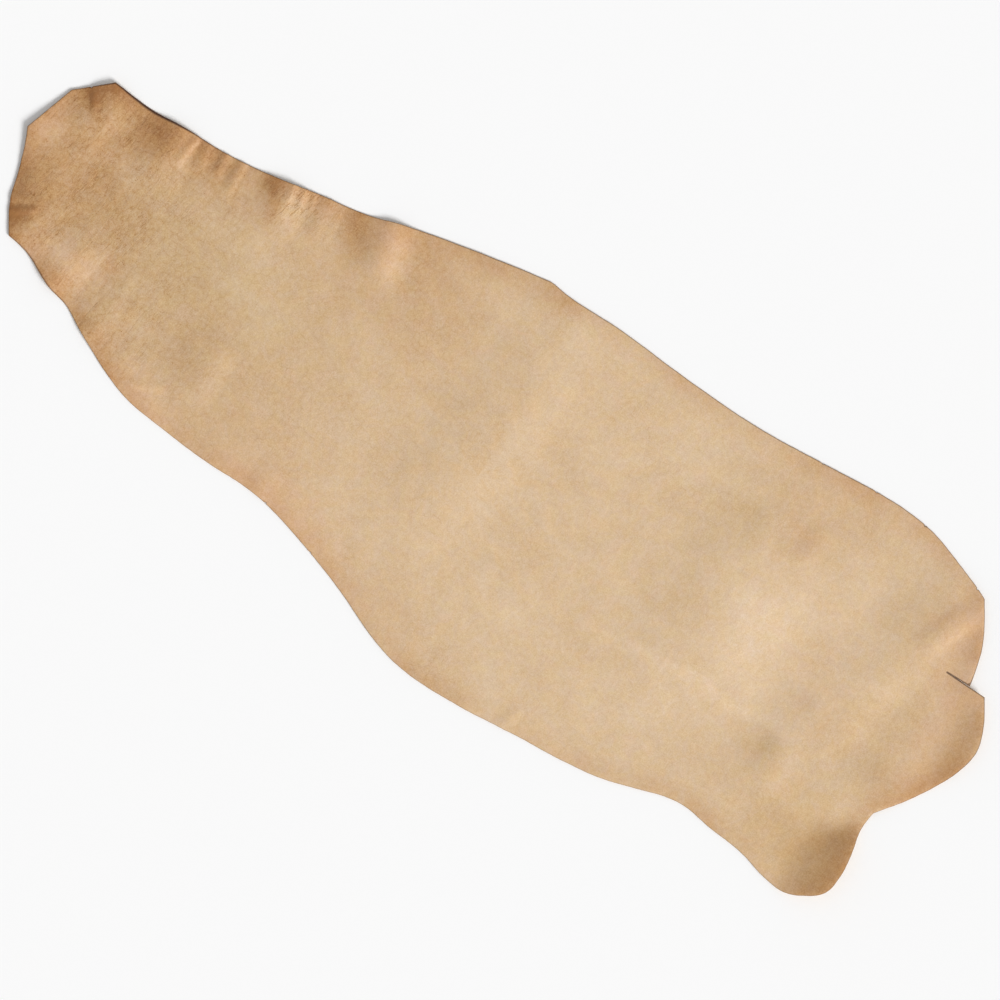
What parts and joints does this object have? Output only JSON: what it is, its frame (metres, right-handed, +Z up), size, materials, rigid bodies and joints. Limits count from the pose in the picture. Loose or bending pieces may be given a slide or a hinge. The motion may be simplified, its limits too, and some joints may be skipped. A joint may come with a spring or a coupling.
{
  "type": "leather side",
  "caption": "Undyed side of vegetable-tanned leather: half a cattle hide in one flat piece with a natural, ruffled outline.",
  "frame": {"origin": "under the middle of the hide, on the surface it lies on", "axes": "+X along the hide from neck to butt, +Y across it towards the straighter back edge, +Z up, grain side up"},
  "size_m": [2.556, 0.9216, 0.0414],
  "materials": {
    "leather": "natural undyed grain, dull shine"
  },
  "bodies": {
    "root": {"hide": "leather"}
  },
  "joints": []
}
